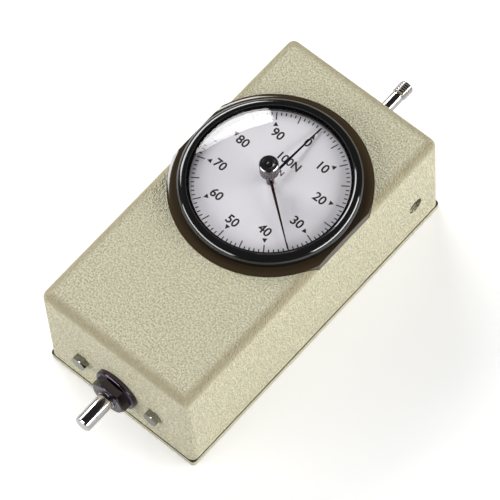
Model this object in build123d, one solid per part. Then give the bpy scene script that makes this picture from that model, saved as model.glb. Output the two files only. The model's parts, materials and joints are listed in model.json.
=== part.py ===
from build123d import *
import math
import os

# Mechanical push-pull force gauge with a round dial, in millimetres.
# X runs across the body, -Y is the plain push end, +Y the threaded pull end, Z is up from the base.
# The origin lies on the base, midway between the two ends of the measuring shaft.

# ---------------------------------------------------------------- body shell
body_width = 71.6
body_length = 142.1
wall = 3.0
top_wall = 3.5
top_edge_round = 4.0
corner_round = 3.0
body_over_plate = 7.7
cover_lip = 0.2
cover_thickness = 3.0
cover_corner_round = 1.5
cover_edge_chamfer = 0.4
seam_relief = 0.5

# ---------------------------------------------------------------- shaft and its guides
shaft_height = 20.3
front_reach = 19.9
rear_reach = 24.1
push_rod_radius = 3.8
push_tip_radius = 3.4
push_shoulder_stand = 0.4
stop_ring_wall = 2.0
stop_ring_thickness = 1.0
pull_rod_radius = 2.6
tip_chamfer = 0.5
running_gap = 0.05
end_gap = 0.1

front_bush_radius = 4.8
bush_flange_radius = 7.4
bush_flange_thickness = 3.0
bush_end_stand = 0.1
washer_radius = 9.4
washer_thickness = 2.2
washer_round = 0.8
nut_across_flats = 14.0
nut_thickness = 4.0
nut_turn = 52.0
nut_chamfer = 1.1
hex_screw_chamfer = 0.35
hex_screw_past_plate = 1.0

rear_spigot_radius = 4.5
rear_flange_radius = 9.0
rear_flange_thickness = 2.0
adjuster_sleeve_radius = 6.0
adjuster_radius = 10.0
adjuster_length = 5.5
adjuster_face = 1.2
adjuster_hole_radius = 1.3
adjuster_hole_depth = 3.0
adjuster_hole_count = 6

access_hole_radius = 3.5
access_from_rear = 13.8

thread_radius = 3.0
thread_length = 5.7
neck_radius = 2.2
neck_length = 0.8
spigot_radius = 1.6
spigot_length = 6.0

# ---------------------------------------------------------------- chassis
chassis_sheet = 2.0
chassis_half_width = 24.5
chassis_nose_margin = 2.0
chassis_nose_to_dial = 36.0
chassis_front_drop = 11.3
chassis_flange_drop = 8.0
chassis_tail = 21.0
hex_screw_from_side = 18.0
hex_screw_radius = 1.75
hex_screw_flats = 6.0
hex_screw_head = 2.6
hex_screw_turn = 12.0
clearance = 0.15

# ---------------------------------------------------------------- main spring
wire_radius = 0.9
coil_radius = 6.0
collar_radius = 7.0
collar_length = 4.0
collar_after_carrier = 15.0
collar_pin_radius = 1.0
active_turns = 6
deck_over_coil = 0.8

# ---------------------------------------------------------------- rack and gear train
rack_module = 0.5
rack_pinion_teeth = 20
train_module = 0.4
transfer_teeth = 64
centre_teeth = 20
tooth_play = 0.06
tooth_root_depth = 1.25
pressure_angle = 20.0
rack_height = 3.0
rack_back = 2.0
rack_lead = 13.5
rack_tail = 3.0
rack_pitch_x = -2.0
carrier_half_width = 6.0
carrier_half_height = 6.0
carrier_neck_half_width = 2.0
carrier_neck_length = 8.0
carrier_table = 1.0
table_gap = 0.5
pinion_gap = 0.1
transfer_thickness = 1.5
transfer_over_rack = 2.0
centre_pinion_extra = 0.5
arbor_radius = 1.0
pivot_radius = 0.6
pivot_recess = 0.3
pivot_bush_radius = 2.0
hub_radius = 2.6
lightening_radius = 3.0
lightening_count = 5
plate_sheet = 1.5
hairspring_over_gear = 2.0
hairspring_height = 1.0
hairspring_strip = 0.25
hairspring_inner = 2.6
hairspring_pitch = 1.3
hairspring_half_turns = 8
collet_gap = 0.05
stud_radius = 0.9
upper_plate_gap = 2.5
pillar_radius = 2.5
pillar_from_dial = [(-21.5, -8.4), (17.0, -18.9), (15.0, 15.1), (-15.0, 15.1)]
plate_margin = 4.0
small_screw_radius = 1.5
small_head_radius = 2.5
small_head_height = 1.5
slot_half = 0.3
pillar_screw_depth = 6.0
grub_radius = 1.2
rack_screw_head_radius = 1.8
rack_screw_head_height = 0.84

# ---------------------------------------------------------------- dial case, bezel and window
dial_behind_middle = 17.0
bezel_radius = 34.86
bezel_wall_height = 1.55
bezel_height = 4.45
bezel_edge_round = 2.96
bezel_rim_width = 3.46
bezel_lip_thickness = 0.225
bezel_base_gap = 0.15
bezel_ring_wall = 2.86
skirt_set_in = 0.66
skirt_wall = 1.1
skirt_depth = 1.8
skirt_groove_depth = 2.0
skirt_groove_gap = 0.15
bezel_slide_gap = 0.1
snap_ring_half = 0.3
snap_ring_bite = 0.45
snap_ring_play = 0.1
window_seat_gap = 0.05

case_flange_land = 4.05
case_flange_depth = 4.1
case_flange_stand = 0.6
case_flange_slope = 2.1
case_fit = 0.15
case_wall = 2.0
case_floor = 1.5
case_floor_hole = 6.0
case_upstand = 0.55
seat_thickness = 3.0
seat_hole_gap = 0.2
case_screw_side = 15.0
case_screw_depth = 1.6
case_screw_head_radius = 2.6
case_screw_head_height = 2.1

dial_sheet = 0.5
dial_ring_sheet = 0.3
dial_ring_width = 1.15
dial_hole_radius = 2.4
spacer_width = 1.95
spacer_height = 1.4
window_rim_thickness = 0.95
window_dome = 3.4
window_thickness = 1.3
gasket_width = 0.85
gasket_thickness = 0.3

# ---------------------------------------------------------------- pointers and knob
pointer_sheet = 0.25
pointer_tip_gap = 1.1
pointer_tip_half_width = 0.2
pointer_root_half_width = 0.6
pointer_root_over_dial = 3.1
pointer_tip_over_dial = 0.45
pointer_hub_radius = 1.5
pointer_hub_gap = 0.2
pointer_hub_height = 3.3
peak_tip_gap = 0.4
peak_root_over_dial = 3.75
peak_tip_over_dial = 0.95
peak_hub_gap = 0.1
peak_hub_height = 0.9
peak_hub_radius = 1.9
peak_reading = 35.15
dial_divisions = 100
stem_radius = 1.4
washer_gap = 0.05
friction_washer_radius = 2.1
friction_washer_thickness = 0.6
knob_base_radius = 2.2
knob_cone_height = 1.4
knob_radius = 3.65
knob_grip_height = 5.6
knob_edge = 0.35
knob_dish_radius = 2.6
knob_dish_depth = 0.9

# ---------------------------------------------------------------- base cover
corner_boss_radius = 3.8
corner_boss_inset = 6.2
cover_screw_radius = 1.5
cover_screw_end_gap = 1.0
cross_slot_length = 3.9
cross_slot_width = 0.7
cover_screw_depth = 9.0
cover_head_radius = 3.0
cover_head_height = 1.6
stand_spacing_x = 40.0
stand_spacing_y = 90.0
stand_hole_radius = 1.65
stand_boss_radius = 4.0
stand_boss_height = 3.0

# ---------------------------------------------------------------- places worked out from the sizes above
body_middle = (front_reach - rear_reach) / 2
cover_width = body_width + 2 * cover_lip
cover_length = body_length + 2 * cover_lip
front_face = body_middle - body_length / 2
rear_face = body_middle + body_length / 2
front_inside = front_face + wall
rear_inside = rear_face - wall
dial_y = body_middle + dial_behind_middle
half_width = body_width / 2

washer_front = front_face - washer_thickness
nut_front = washer_front - nut_thickness
bush_front = nut_front - bush_end_stand
chassis_back = front_inside + chassis_sheet
bush_back = chassis_back + bush_flange_thickness
shaft_front = front_face - cover_lip - front_reach
push_tip_end = bush_front - push_shoulder_stand
shaft_rear = rear_face + cover_lip + rear_reach
thread_start = shaft_rear - thread_length
rod_rear = thread_start - neck_length

deck_under = shaft_height + coil_radius + wire_radius + deck_over_coil
deck_top = deck_under + chassis_sheet
table_bottom = deck_top + table_gap
rack_bottom = table_bottom + carrier_table
rack_top = rack_bottom + rack_height
transfer_bottom = rack_top + transfer_over_rack
transfer_top = transfer_bottom + transfer_thickness
hairspring_bottom = transfer_top + hairspring_over_gear
upper_plate_bottom = hairspring_bottom + hairspring_height + upper_plate_gap
upper_plate_top = upper_plate_bottom + plate_sheet
body_top = upper_plate_top + body_over_plate

rack_pinion_radius = rack_module * rack_pinion_teeth / 2
transfer_radius = train_module * transfer_teeth / 2
centre_radius = train_module * centre_teeth / 2
full_scale_travel = 2 * math.pi * rack_pinion_radius * centre_teeth / transfer_teeth
gear_distance = transfer_radius + centre_radius
gear_x = rack_pitch_x - rack_pinion_radius
gear_y = dial_y - math.sqrt(gear_distance ** 2 - gear_x ** 2)
mesh_direction = math.degrees(math.atan2(dial_y - gear_y, -gear_x))

pillar_places = [(x, dial_y + y) for x, y in pillar_from_dial]

neck_front = gear_y - rack_lead / 2 - carrier_neck_length / 2
neck_rear = neck_front + carrier_neck_length
carrier_front = gear_y - rack_lead
carrier_rear = gear_y + rack_tail
collar_front = carrier_rear + collar_after_carrier
collar_rear = collar_front + collar_length
access_y = rear_face - access_from_rear
adjuster_front = access_y - adjuster_length / 2
adjuster_rear = access_y + adjuster_length / 2

bezel_bore_radius = bezel_radius - bezel_ring_wall
bezel_lip_radius = bezel_radius - bezel_rim_width
bezel_crown_radius = bezel_radius - bezel_edge_round
skirt_radius = bezel_radius - skirt_set_in
skirt_bore_radius = skirt_radius - skirt_wall
skirt_groove_radius = skirt_radius + skirt_groove_gap
case_outer_radius = skirt_bore_radius - bezel_slide_gap
case_bore_radius = case_outer_radius - case_wall
case_flange_radius = skirt_groove_radius + case_flange_land
case_screw_circle = (skirt_groove_radius + case_flange_radius) / 2
disc_radius = bezel_bore_radius - window_seat_gap
spacer_inner = disc_radius - spacer_width
pointer_tip_radius = spacer_inner - pointer_tip_gap
peak_tip_radius = spacer_inner - peak_tip_gap

hex_screw_x = half_width - hex_screw_from_side
chassis_nose_half_width = hex_screw_x + hex_screw_radius + chassis_nose_margin

flange_top = body_top + case_flange_stand
flange_bottom = flange_top - case_flange_depth
case_top = flange_top + case_upstand
bezel_bottom = flange_top + bezel_base_gap
bezel_top = bezel_bottom + bezel_height
dial_ring_bottom = case_top + bezel_base_gap
dial_bottom = dial_ring_bottom + dial_ring_sheet
dial_top = dial_bottom + dial_sheet
window_bottom = dial_top + spacer_height
window_rim_top = window_bottom + window_rim_thickness
gasket_top = window_rim_top + gasket_thickness
window_crown = window_bottom + window_dome + window_thickness
pointer_hub_bottom = dial_top + pointer_hub_gap
pointer_hub_top = pointer_hub_bottom + pointer_hub_height
peak_hub_bottom = pointer_hub_top + peak_hub_gap
peak_hub_top = peak_hub_bottom + peak_hub_height
peak_angle = -peak_reading * 360 / dial_divisions
knob_base = window_crown + friction_washer_thickness + 2 * washer_gap
skirt_bottom = flange_top - skirt_depth
snap_ring_middle = flange_top - skirt_depth / 2


# ---------------------------------------------------------------- shared shapes
def block(x0, x1, y0, y1, z0, z1):
    """A box between two corners."""
    return Pos((x0 + x1) / 2, (y0 + y1) / 2, (z0 + z1) / 2) * Box(x1 - x0, y1 - y0, z1 - z0)


def post(radius, z0, z1, x=0.0, y=dial_y):
    """A round bar that stands on Z."""
    return Pos(x, y, (z0 + z1) / 2) * Cylinder(radius, z1 - z0)


def bar(radius, y0, y1, x=0.0, z=shaft_height):
    """A round bar that lies along Y."""
    return Pos(x, (y0 + y1) / 2, z) * Rot(90, 0, 0) * Cylinder(radius, y1 - y0)


def cross_bar(radius, x0, x1, y, z):
    """A round bar that lies along X."""
    return Pos((x0 + x1) / 2, y, z) * Rot(0, 90, 0) * Cylinder(radius, x1 - x0)


def turned(points):
    """A solid turned about the dial's axis from (radius, height) points."""
    outline = Polyline([(r, 0, z) for r, z in points], close=True)
    return Pos(0, dial_y, 0) * revolve(make_face(outline), Axis.Z)


def hex_bar(flats, y0, y1, x, turn):
    """A hexagonal bar along Y, its first corner at the given angle from X."""
    corners = RegularPolygon(flats / math.sqrt(3), 6, rotation=0)
    prism = extrude(corners, y1 - y0)
    return Pos(x, y1, shaft_height) * Rot(0, -turn, 0) * Rot(90, 0, 0) * prism


def corners(inset_x, inset_y):
    """The four places that lie symmetrically about the body's middle."""
    return [(sx * inset_x, body_middle + sy * inset_y) for sx in (-1, 1) for sy in (-1, 1)]


def one(shape):
    """The single solid of a boolean result."""
    solids = shape.solids()
    return solids[0] if len(solids) == 1 else Compound(children=list(solids))


# ---------------------------------------------------------------- body
cover_screw_places = corners(half_width - corner_boss_inset, body_length / 2 - corner_boss_inset)
stand_places = corners(stand_spacing_x / 2, stand_spacing_y / 2)
case_screw_reach = math.sqrt(case_screw_circle ** 2 - case_screw_side ** 2)
case_screw_places = [
    (sx * case_screw_side, dial_y + sy * case_screw_reach) for sx in (-1, 1) for sy in (-1, 1)
]


def housing():
    body_height = body_top - cover_thickness
    middle = cover_thickness + body_height / 2
    outer = Pos(0, body_middle, middle) * Box(body_width, body_length, body_height)
    outer = fillet(outer.edges().filter_by(Axis.Z), corner_round)
    outer = fillet(outer.faces().sort_by(Axis.Z)[-1].edges(), top_edge_round)
    outer = chamfer(outer.faces().sort_by(Axis.Z)[0].edges(), seam_relief)
    inside = half_width - wall
    shell = outer - block(-inside, inside, front_inside, rear_inside, cover_thickness, body_top - top_wall)
    seat = post(case_flange_radius + wall, flange_bottom - seat_thickness, flange_bottom) & outer
    shell += seat
    for x, y in cover_screw_places:
        shell += post(corner_boss_radius, cover_thickness, body_top - top_wall, x, y)
        shell -= post(cover_screw_radius, cover_thickness, cover_thickness + cover_screw_depth, x, y)
    shell -= post(case_flange_radius + case_fit, flange_bottom, body_top)
    shell -= post(case_outer_radius + seat_hole_gap, upper_plate_top - seat_hole_gap, body_top)
    for x, y in case_screw_places:
        shell -= post(small_screw_radius + clearance, flange_bottom - seat_thickness, flange_bottom, x, y)
    shell -= bar(front_bush_radius, front_face, front_inside)
    for side in (-1, 1):
        shell -= bar(hex_screw_radius + clearance, front_face, front_inside, side * hex_screw_x)
    shell -= bar(rear_spigot_radius, rear_inside, rear_face)
    shell -= cross_bar(access_hole_radius, half_width - wall, half_width, access_y, shaft_height)
    return one(shell)


def countersunk(x, y):
    """A flat-headed screw driven up from the base, with a cross recess."""
    head = Pos(x, y, cover_head_height / 2) * Cone(
        cover_head_radius, cover_screw_radius, cover_head_height
    )
    end = cover_thickness + cover_screw_depth - cover_screw_end_gap
    screw = head + post(cover_screw_radius, cover_head_height, end, x, y)
    for turn in (45, 135):
        slot = Box(cross_slot_length, cross_slot_width, cover_head_height)
        screw -= Pos(x, y, 0) * Rot(0, 0, turn) * slot
    return one(screw)


def base_cover():
    cover = Pos(0, body_middle, cover_thickness / 2) * Box(cover_width, cover_length, cover_thickness)
    cover = fillet(cover.edges().filter_by(Axis.Z), cover_corner_round)
    cover = chamfer(cover.faces().sort_by(Axis.Z)[0].edges(), cover_edge_chamfer)
    for x, y in stand_places:
        cover += post(stand_boss_radius, cover_thickness, cover_thickness + stand_boss_height, x, y)
        cover -= post(stand_hole_radius, 0, cover_thickness + stand_boss_height, x, y)
    for x, y in cover_screw_places:
        cover -= Pos(x, y, cover_head_height / 2) * Cone(
            cover_head_radius, cover_screw_radius, cover_head_height
        )
        cover -= post(cover_screw_radius, 0, cover_thickness, x, y)
    return one(cover)


def cover_screws():
    return [countersunk(x, y) for x, y in cover_screw_places]


# ---------------------------------------------------------------- shaft guides
def front_bush():
    bush = bar(front_bush_radius, bush_front, chassis_back)
    bush += bar(bush_flange_radius, chassis_back, bush_back)
    bush -= bar(push_rod_radius + running_gap, bush_front, bush_back)
    mouth = bush.edges().filter_by(GeomType.CIRCLE).sort_by(Axis.Y)[:2]
    return one(chamfer(mouth, tip_chamfer / 2))


def front_washer():
    washer = bar(washer_radius, washer_front, front_face)
    washer = fillet(washer.edges().sort_by(Axis.Y)[0], washer_round)
    return one(washer - bar(front_bush_radius, washer_front, front_face))


def front_nut():
    nut = hex_bar(nut_across_flats, nut_front, washer_front, 0, nut_turn)
    corner = nut_across_flats / math.sqrt(3)
    crown = bar(corner, nut_front, washer_front)
    crown = chamfer(crown.edges().sort_by(Axis.Y)[0], nut_chamfer)
    return one((nut & crown) - bar(front_bush_radius, nut_front, washer_front))


def hex_screw(side):
    """A hexagon-headed screw through the front wall into the chassis."""
    x = side * hex_screw_x
    head_front = front_face - hex_screw_head
    head = hex_bar(hex_screw_flats, head_front, front_face, x, hex_screw_turn)
    crown = bar(hex_screw_flats / math.sqrt(3), head_front, front_face, x)
    crown = chamfer(crown.edges().sort_by(Axis.Y)[0], hex_screw_chamfer)
    shank_end = chassis_back + hex_screw_past_plate
    return one((head & crown) + bar(hex_screw_radius, front_face, shank_end, x))


def rear_bush():
    bush = bar(rear_flange_radius, rear_inside - rear_flange_thickness, rear_inside)
    bush += bar(rear_spigot_radius, rear_inside, rear_face)
    bush += bar(adjuster_sleeve_radius, adjuster_front + adjuster_face, rear_inside)
    return one(bush - bar(pull_rod_radius + running_gap, adjuster_front, rear_face))


def adjuster_nut():
    """The ring that sets the spring's preload, with holes for a turning pin."""
    ring = bar(adjuster_radius, adjuster_front, adjuster_rear)
    ring -= bar(adjuster_sleeve_radius, adjuster_front + adjuster_face, adjuster_rear)
    ring -= bar(pull_rod_radius + clearance * 2, adjuster_front, adjuster_rear)
    hole = Pos(adjuster_radius - adjuster_hole_depth / 2, 0, 0) * Rot(0, 90, 0) * Cylinder(
        adjuster_hole_radius, adjuster_hole_depth
    )
    for k in range(adjuster_hole_count):
        ring -= Pos(0, access_y, shaft_height) * Rot(0, k * 360 / adjuster_hole_count, 0) * hole
    return one(ring)


# ---------------------------------------------------------------- chassis
def chassis():
    nose = chassis_nose_half_width
    wide = chassis_half_width
    step = dial_y - chassis_nose_to_dial
    tail = dial_y + chassis_tail
    frame = block(-nose, nose, front_inside, step, deck_under, deck_top)
    frame += block(-wide, wide, step, tail, deck_under, deck_top)
    frame += block(-nose, nose, front_inside, chassis_back, shaft_height - chassis_front_drop, deck_top)
    for side in (-1, 1):
        for reach, start, end in ((nose, front_inside, step + chassis_sheet), (wide, step, tail)):
            outer = side * reach
            inner = side * (reach - chassis_sheet)
            bottom = deck_under - chassis_flange_drop
            frame += block(min(outer, inner), max(outer, inner), start, end, bottom, deck_top)
    frame -= bar(front_bush_radius, front_inside, chassis_back)
    for side in (-1, 1):
        frame -= bar(hex_screw_radius, front_inside, chassis_back, side * hex_screw_x)
    slot_half = carrier_neck_half_width + clearance
    slot_end = neck_rear + full_scale_travel + end_gap
    frame -= block(-slot_half, slot_half, neck_front - end_gap, slot_end, deck_under, deck_top)
    for x, y in ((gear_x, gear_y), (0, dial_y)):
        frame -= post(pivot_bush_radius, deck_under, deck_top, x, y)
    for x, y in pillar_places:
        frame -= post(small_screw_radius, deck_under, deck_top, x, y)
    return one(frame)


# ---------------------------------------------------------------- moving shaft
def measuring_shaft():
    shaft = bar(push_tip_radius, shaft_front, push_tip_end)
    shaft = chamfer(shaft.edges().sort_by(Axis.Y)[0], tip_chamfer)
    shaft += bar(push_rod_radius, push_tip_end, collar_rear)
    shaft += bar(pull_rod_radius, collar_rear, rod_rear)
    shaft -= bar(spigot_radius, rod_rear - spigot_length, rod_rear)
    pin_y = (collar_front + collar_rear) / 2
    shaft -= cross_bar(collar_pin_radius, -collar_radius, collar_radius, pin_y, shaft_height)
    return one(shaft)


def pull_stud():
    """The threaded end that screws into the rear of the shaft, drawn at its outer diameter."""
    stud = bar(spigot_radius, rod_rear - spigot_length, rod_rear)
    stud += bar(neck_radius, rod_rear, thread_start)
    thread = bar(thread_radius, thread_start, shaft_rear)
    thread = chamfer(thread.edges().filter_by(GeomType.CIRCLE), tip_chamfer)
    return one(stud + thread)


def stop_ring():
    start = bush_back + end_gap
    ring = bar(push_rod_radius + stop_ring_wall, start, start + stop_ring_thickness)
    return one(ring - bar(push_rod_radius, start, start + stop_ring_thickness))


def spring_collar():
    pin_y = (collar_front + collar_rear) / 2
    collar = bar(collar_radius, collar_front, collar_rear)
    collar -= bar(push_rod_radius, collar_front, collar_rear)
    reach = collar_radius + clearance
    return one(collar - cross_bar(collar_pin_radius, -reach, reach, pin_y, shaft_height))


def collar_pin():
    pin_y = (collar_front + collar_rear) / 2
    reach = collar_radius - tip_chamfer
    return one(cross_bar(collar_pin_radius, -reach, reach, pin_y, shaft_height))


def main_spring():
    """A compression spring: a coil cut square at both ends, where it bears."""
    free = adjuster_front - collar_rear
    pitch = (free - wire_radius) / active_turns
    helix = Helix(pitch, free + 2 * pitch, coil_radius)
    section = Plane(origin=helix @ 0, z_dir=helix % 0) * Circle(wire_radius)
    coil = Pos(0, collar_rear - pitch, shaft_height) * Rot(-90, 0, 0) * sweep(section, path=helix)
    reach = coil_radius + 2 * wire_radius
    room = block(-reach, reach, collar_rear, adjuster_front, shaft_height - reach, shaft_height + reach)
    return one(coil & room)


def rack_carrier():
    middle = (neck_front + neck_rear) / 2
    top = shaft_height + carrier_half_height
    wide = carrier_half_width
    neck = carrier_neck_half_width
    carrier = block(-wide, wide, carrier_front, carrier_rear, shaft_height - carrier_half_height, top)
    carrier += block(-neck, neck, neck_front, neck_rear, top, table_bottom)
    table_edge = rack_pitch_x + tooth_root_depth * rack_module
    carrier += block(table_edge, rack_back, carrier_front, carrier_rear, table_bottom, rack_bottom)
    carrier -= bar(push_rod_radius, carrier_front, carrier_rear)
    carrier -= cross_bar(grub_radius, 0, carrier_half_width, middle, shaft_height)
    for y in rack_screw_places():
        carrier -= post(grub_radius, table_bottom, rack_bottom, rack_screw_x(), y)
    return one(carrier)


def rack_screw_x():
    return (rack_pitch_x + tooth_root_depth * rack_module + rack_back) / 2


def rack_screw_places():
    return [carrier_front + rack_tail, carrier_rear - rack_tail]


def carrier_grub():
    middle = (neck_front + neck_rear) / 2
    return one(cross_bar(grub_radius, push_rod_radius, carrier_half_width, middle, shaft_height))


# ---------------------------------------------------------------- teeth
def involute(angle):
    return math.tan(angle) - angle


def gear_outline(teeth, module, first_tooth):
    """Corner points of a spur gear, with one tooth centred at the given angle."""
    pitch_radius = module * teeth / 2
    base_radius = pitch_radius * math.cos(math.radians(pressure_angle))
    root_radius = pitch_radius - tooth_root_depth * module
    tip_radius = pitch_radius + module
    half_pitch = math.pi / (2 * teeth) - tooth_play / (2 * pitch_radius)
    spread = half_pitch + involute(math.radians(pressure_angle))

    def half_angle(radius):
        reached = max(radius, base_radius)
        return spread - involute(math.acos(min(1.0, base_radius / reached)))

    flank = [root_radius, pitch_radius, tip_radius]
    points = []
    for k in range(teeth):
        centre = math.radians(first_tooth) + 2 * math.pi * k / teeth
        for radius in flank:
            angle = centre - half_angle(radius)
            points.append((radius * math.cos(angle), radius * math.sin(angle)))
        for radius in reversed(flank):
            angle = centre + half_angle(radius)
            points.append((radius * math.cos(angle), radius * math.sin(angle)))
    return points


def gear(teeth, module, first_tooth, bottom, top, x, y):
    face = make_face(Polyline(gear_outline(teeth, module, first_tooth), close=True))
    return Pos(x, y, bottom) * extrude(face, top - bottom)


def rack():
    """A straight rack whose gap faces the pinion's tooth on the line between them."""
    pitch = math.pi * rack_module
    slope = math.tan(math.radians(pressure_angle))
    half_tooth = pitch / 4 - tooth_play / 2
    root_x = rack_pitch_x + tooth_root_depth * rack_module
    tip_x = rack_pitch_x - rack_module
    half_root = half_tooth + (root_x - rack_pitch_x) * slope
    half_tip = half_tooth - (rack_pitch_x - tip_x) * slope
    first = math.ceil((carrier_front - gear_y) / pitch)
    last = math.floor((carrier_rear - gear_y) / pitch)
    points = [(root_x, carrier_front)]
    for k in range(first, last):
        centre = gear_y + (k + 0.5) * pitch
        points += [(root_x, centre - half_root), (tip_x, centre - half_tip)]
        points += [(tip_x, centre + half_tip), (root_x, centre + half_root)]
    points += [(root_x, carrier_rear), (rack_back, carrier_rear), (rack_back, carrier_front)]
    body = Pos(0, 0, rack_bottom) * extrude(make_face(Polyline(points, close=True)), rack_height)
    for y in rack_screw_places():
        body -= post(grub_radius, rack_bottom, rack_top, rack_screw_x(), y)
    return one(body)


def rack_screws():
    screws = []
    for y in rack_screw_places():
        screw = post(grub_radius, table_bottom, rack_top, rack_screw_x(), y)
        head = post(rack_screw_head_radius, rack_top, rack_top + rack_screw_head_height, rack_screw_x(), y)
        screws.append(one(screw + head))
    return screws


def rack_pinion():
    bottom = rack_bottom + pinion_gap
    wheel = gear(rack_pinion_teeth, rack_module, 0, bottom, rack_top - pinion_gap, gear_x, gear_y)
    return one(wheel - post(arbor_radius, rack_bottom, rack_top, gear_x, gear_y))


def transfer_gear():
    bottom = transfer_bottom
    wheel = gear(transfer_teeth, train_module, mesh_direction, bottom, transfer_top, gear_x, gear_y)
    wheel += post(hub_radius, rack_top - pinion_gap, transfer_bottom, gear_x, gear_y)
    wheel -= post(arbor_radius, rack_top - pinion_gap, transfer_top, gear_x, gear_y)
    ring = (transfer_radius + hub_radius) / 2
    for k in range(lightening_count):
        angle = 2 * math.pi * k / lightening_count
        x = gear_x + ring * math.cos(angle)
        y = gear_y + ring * math.sin(angle)
        wheel -= post(lightening_radius, transfer_bottom, transfer_top, x, y)
    return one(wheel)


def centre_pinion():
    first_tooth = mesh_direction + 180 + 180 / centre_teeth
    bottom = transfer_bottom - centre_pinion_extra
    top = transfer_top + centre_pinion_extra
    wheel = gear(centre_teeth, train_module, first_tooth, bottom, top, 0, dial_y)
    return one(wheel - post(arbor_radius, bottom, top))


def gear_arbor():
    arbor = post(pivot_radius, deck_under, upper_plate_top - pivot_recess, gear_x, gear_y)
    arbor += post(arbor_radius, deck_top + pinion_gap, upper_plate_bottom - pinion_gap, gear_x, gear_y)
    return one(arbor)


def centre_arbor():
    arbor = post(pivot_radius, deck_under, pointer_hub_top)
    arbor += post(arbor_radius, deck_top + pinion_gap, upper_plate_bottom - pinion_gap)
    return one(arbor)


def pivot_bushes():
    bushes = []
    for x, y in ((gear_x, gear_y), (0, dial_y)):
        for bottom, top in ((deck_under, deck_top), (upper_plate_bottom, upper_plate_top)):
            bush = post(pivot_bush_radius, bottom, top, x, y)
            bushes.append(one(bush - post(pivot_radius + running_gap, bottom, top, x, y)))
    return bushes


def hairspring_collet():
    bottom = transfer_top + centre_pinion_extra
    radius = hairspring_inner - hairspring_strip / 2 - collet_gap
    collet = post(radius, bottom, hairspring_bottom + hairspring_height)
    return one(collet - post(arbor_radius, bottom, hairspring_bottom + hairspring_height))


def hairspring():
    """A flat spiral of half rings, each a quarter pitch off the axis in turn."""
    strip = None
    for k in range(hairspring_half_turns):
        side = 1 if k % 2 == 0 else -1
        radius = hairspring_inner + (k + 0.5) * hairspring_pitch / 2
        centre_x = -side * hairspring_pitch / 4
        ring = post(radius + hairspring_strip / 2, 0, hairspring_height, centre_x, 0)
        ring -= post(radius - hairspring_strip / 2, 0, hairspring_height, centre_x, 0)
        reach = radius + hairspring_pitch
        half = block(-reach, reach, min(0, side * reach), max(0, side * reach), 0, hairspring_height)
        strip = (ring & half) if strip is None else strip + (ring & half)
    return one(Pos(0, dial_y, hairspring_bottom) * strip)


def hairspring_stud():
    """The peg, slit for the spiral's outer end, that hangs from the upper plate."""
    end_x = hairspring_inner + hairspring_pitch * hairspring_half_turns / 2
    return one(post(stud_radius, hairspring_bottom, upper_plate_bottom, end_x, dial_y) - hairspring())


def plate_limits():
    xs = [x for x, y in pillar_places]
    ys = [y for x, y in pillar_places]
    return min(xs) - plate_margin, max(xs) + plate_margin, min(ys) - plate_margin, max(ys) + plate_margin


def upper_plate():
    x0, x1, y0, y1 = plate_limits()
    plate = block(x0, x1, y0, y1, upper_plate_bottom, upper_plate_top)
    plate = fillet(plate.edges().filter_by(Axis.Z), pillar_radius)
    for x, y in ((gear_x, gear_y), (0, dial_y)):
        plate -= post(pivot_bush_radius, upper_plate_bottom, upper_plate_top, x, y)
    for x, y in pillar_places:
        plate -= post(small_screw_radius + clearance, upper_plate_bottom, upper_plate_top, x, y)
    return one(plate)


def pillars():
    posts = []
    for x, y in pillar_places:
        pillar = post(pillar_radius, deck_top, upper_plate_bottom, x, y)
        pillar += post(small_screw_radius, deck_under, deck_top, x, y)
        hole_end = upper_plate_bottom - pillar_screw_depth
        posts.append(one(pillar - post(small_screw_radius, hole_end, upper_plate_bottom, x, y)))
    return posts


def movement_screws():
    screws = []
    floor_top = upper_plate_top + case_floor
    for x, y in pillar_places:
        screw = post(small_screw_radius, upper_plate_bottom - pillar_screw_depth, floor_top, x, y)
        screw += post(small_head_radius, floor_top, floor_top + small_head_height, x, y)
        slot = block(-small_head_radius, small_head_radius, -slot_half, slot_half, 0, small_head_height / 2)
        screw -= Pos(x, y, floor_top + small_head_height / 2) * slot
        screws.append(one(screw))
    return screws


# ---------------------------------------------------------------- dial case and bezel
def case_flange():
    """The black ring on the housing: flat by the bezel, then curving down, cut level with both sides."""
    crest = case_flange_radius - case_flange_slope
    with BuildPart() as part:
        with BuildSketch(Plane.XZ):
            with BuildLine():
                TangentArc((crest, flange_top), (case_flange_radius, body_top), tangent=(1, 0))
                Polyline(
                    (case_flange_radius, body_top),
                    (case_flange_radius, flange_bottom),
                    (case_bore_radius, flange_bottom),
                    (case_bore_radius, flange_top),
                    (crest, flange_top),
                )
            make_face()
        revolve(axis=Axis.Z)
    reach = case_flange_radius
    sides = block(-half_width, half_width, dial_y - reach, dial_y + reach, flange_bottom, flange_top)
    return one((Pos(0, dial_y, 0) * part.part) & sides)


def dial_case():
    floor_bottom = upper_plate_top
    case = post(case_outer_radius, floor_bottom, case_top) + case_flange()
    case -= post(case_bore_radius, floor_bottom + case_floor, case_top)
    case -= post(case_floor_hole, floor_bottom, floor_bottom + case_floor)
    for x, y in pillar_places:
        case -= post(small_screw_radius + clearance, floor_bottom, floor_bottom + case_floor, x, y)
    for x, y in case_screw_places:
        case -= post(small_screw_radius, flange_bottom, flange_bottom + case_screw_depth, x, y)
    groove = post(skirt_groove_radius, flange_top - skirt_groove_depth, flange_top)
    case -= groove - post(case_outer_radius, flange_top - skirt_groove_depth, flange_top)
    low = snap_ring_middle - snap_ring_half
    high = snap_ring_middle + snap_ring_half
    case -= post(case_outer_radius, low, high) - post(case_outer_radius - snap_ring_bite, low, high)
    return one(case)


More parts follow.
